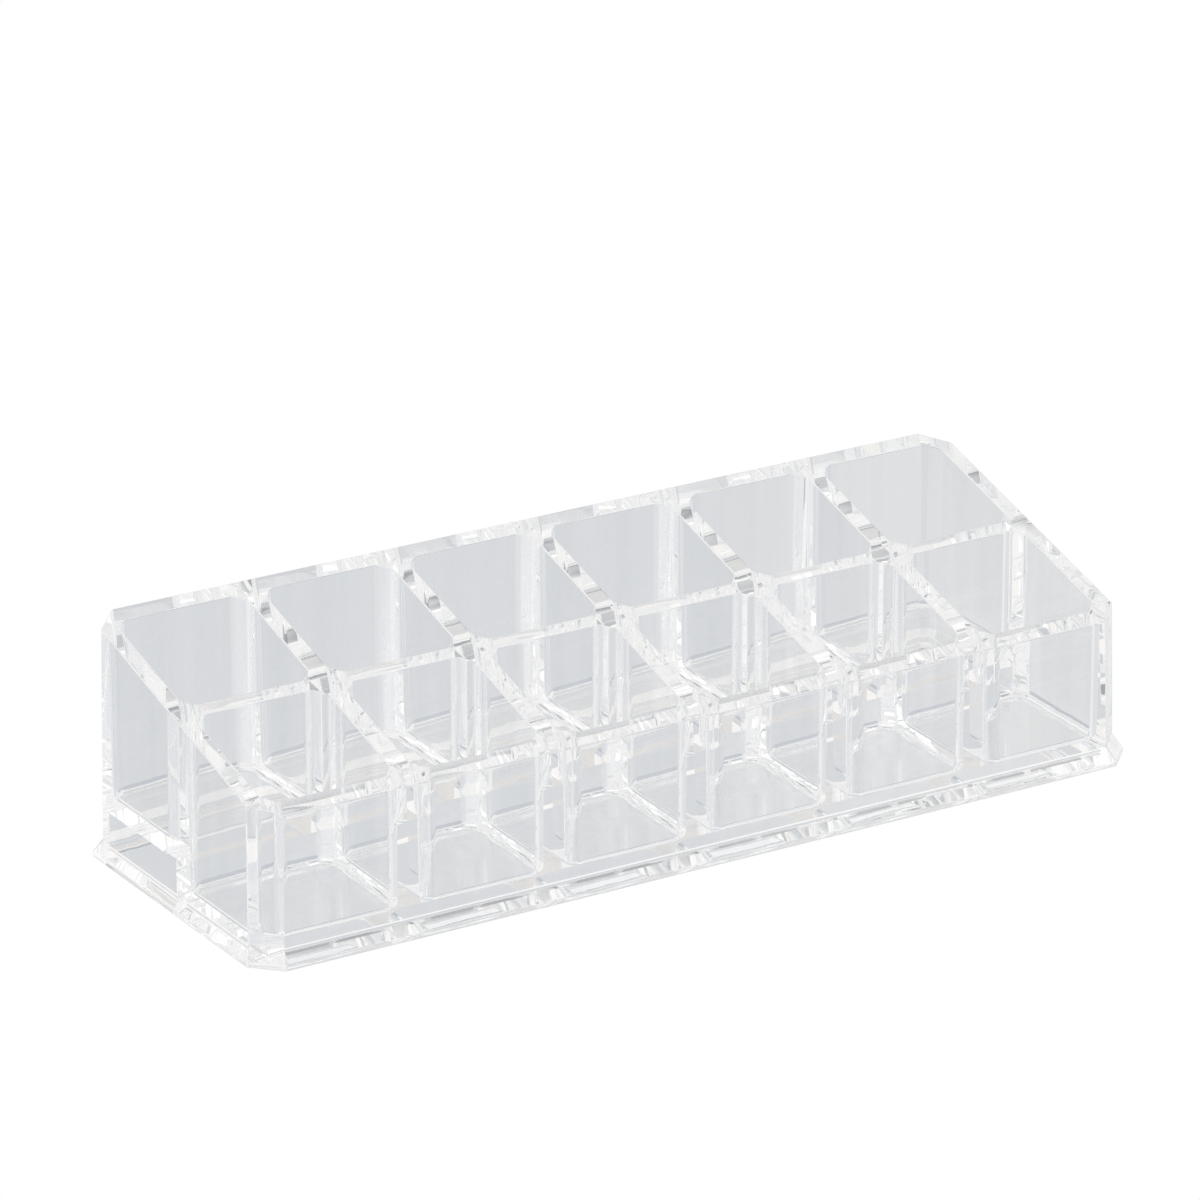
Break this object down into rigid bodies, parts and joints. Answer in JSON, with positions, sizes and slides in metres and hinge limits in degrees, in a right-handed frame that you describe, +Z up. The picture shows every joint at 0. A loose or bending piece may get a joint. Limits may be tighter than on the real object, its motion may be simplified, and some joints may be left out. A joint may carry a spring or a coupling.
{
  "type": "vanity organizer",
  "caption": "Clear moulded countertop organizer: two stepped rows of square open pockets with cut corners in one sloping block on a flared foot rim.",
  "frame": {"origin": "centre of the foot rim, on the surface that the organizer stands on", "axes": "+X along the length, to the right seen from the low front; +Y towards the tall back; +Z up"},
  "size_m": [0.2226, 0.0816, 0.055],
  "materials": {
    "clear_plastic": "clear, polished"
  },
  "bodies": {
    "root": {"base_rim": "clear_plastic", "front_wall": "clear_plastic", "back_wall": "clear_plastic", "left_end_wall": "clear_plastic", "right_end_wall": "clear_plastic", "middle_wall": "clear_plastic", "front_floor": "clear_plastic", "back_floor": "clear_plastic", "front_divider_1": "clear_plastic", "front_divider_2": "clear_plastic", "front_divider_3": "clear_plastic", "front_divider_4": "clear_plastic", "front_divider_5": "clear_plastic", "back_divider_1": "clear_plastic", "back_divider_2": "clear_plastic", "back_divider_3": "clear_plastic", "back_divider_4": "clear_plastic", "back_divider_5": "clear_plastic"}
  },
  "joints": []
}
